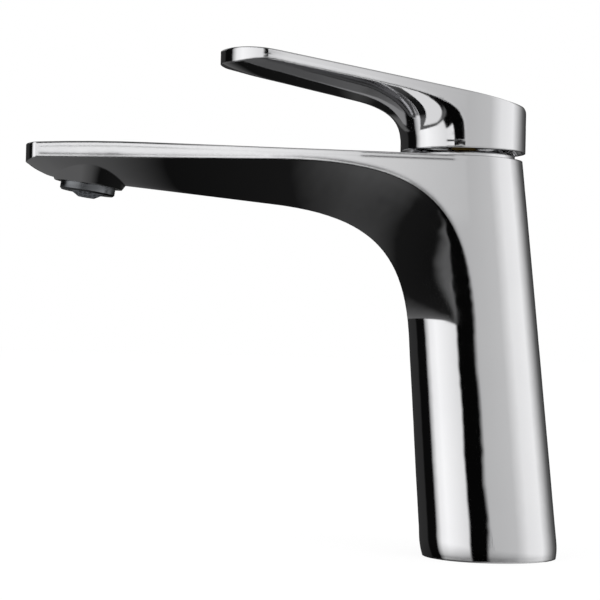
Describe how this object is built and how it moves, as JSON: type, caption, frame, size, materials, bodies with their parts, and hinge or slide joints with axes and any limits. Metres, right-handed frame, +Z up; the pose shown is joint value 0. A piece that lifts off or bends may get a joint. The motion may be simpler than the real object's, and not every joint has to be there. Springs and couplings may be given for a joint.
{
  "type": "basin mixer tap",
  "caption": "Single-lever basin mixer tap: leaning round column, long flat-topped spout with aerator, and a paddle lever on a ring that lifts and turns over a ceramic disc cartridge.",
  "frame": {"origin": "centre of the bore in the base, on the deck that the tap stands on", "axes": "+Z up, -X along the spout towards the user, +Y to the left of a user who faces the tap"},
  "size_m": [0.1954, 0.0496, 0.1814],
  "materials": {
    "polished_chrome": "polished chrome plate",
    "raw_brass": "machined",
    "stainless_steel": "satin",
    "ceramic": "lapped",
    "white_plastic": "matte",
    "grey_plastic": "matte",
    "red_plastic": "matte",
    "black_rubber": "matte"
  },
  "bodies": {
    "mixer_body": {"body_casting": "polished_chrome", "base_seal_ring": "black_rubber", "cartridge_base": "white_plastic", "inlet_seals": "black_rubber", "fixed_disc_seal": "black_rubber", "fixed_disc": "ceramic", "cartridge_housing": "white_plastic", "housing_o_ring": "black_rubber", "cartridge_nut": "raw_brass", "temperature_limit_ring": "red_plastic", "cartridge_cover": "polished_chrome", "aerator_housing": "polished_chrome", "aerator_gasket": "black_rubber", "aerator_screen": "grey_plastic", "aerator_insert": "white_plastic", "flow_regulator": "grey_plastic"},
    "stem_rotor": {"stem_carrier": "grey_plastic", "stem_pin": "stainless_steel"},
    "lever": {"cartridge_stem": "raw_brass", "lever_handle": "polished_chrome", "handle_bush": "grey_plastic", "handle_set_screw": "stainless_steel", "screw_plug": "polished_chrome"},
    "disc_carriage": {"moving_disc": "ceramic", "disc_coupler": "white_plastic"}
  },
  "joints": [
    {"name": "lever_swivel", "type": "hinge", "parent": "mixer_body", "child": "stem_rotor", "pos_m": [-0.0118, 0, 0.1336], "axis": [0, 0, 1], "range_deg": [-40, 40]},
    {"name": "lever_lift", "type": "hinge", "parent": "stem_rotor", "child": "lever", "pos_m": [-0.0118, 0, 0.1336], "axis": [0, 1, 0], "range_deg": [0, 18]},
    {"name": "disc_slide", "type": "slide", "parent": "stem_rotor", "child": "disc_carriage", "axis": [-1, 0, 0], "range_m": [0, 0.0026]}
  ],
  "couplings": [
    {"joint": "disc_slide", "follows": "lever_lift", "m_per_rad": 0.008}
  ]
}
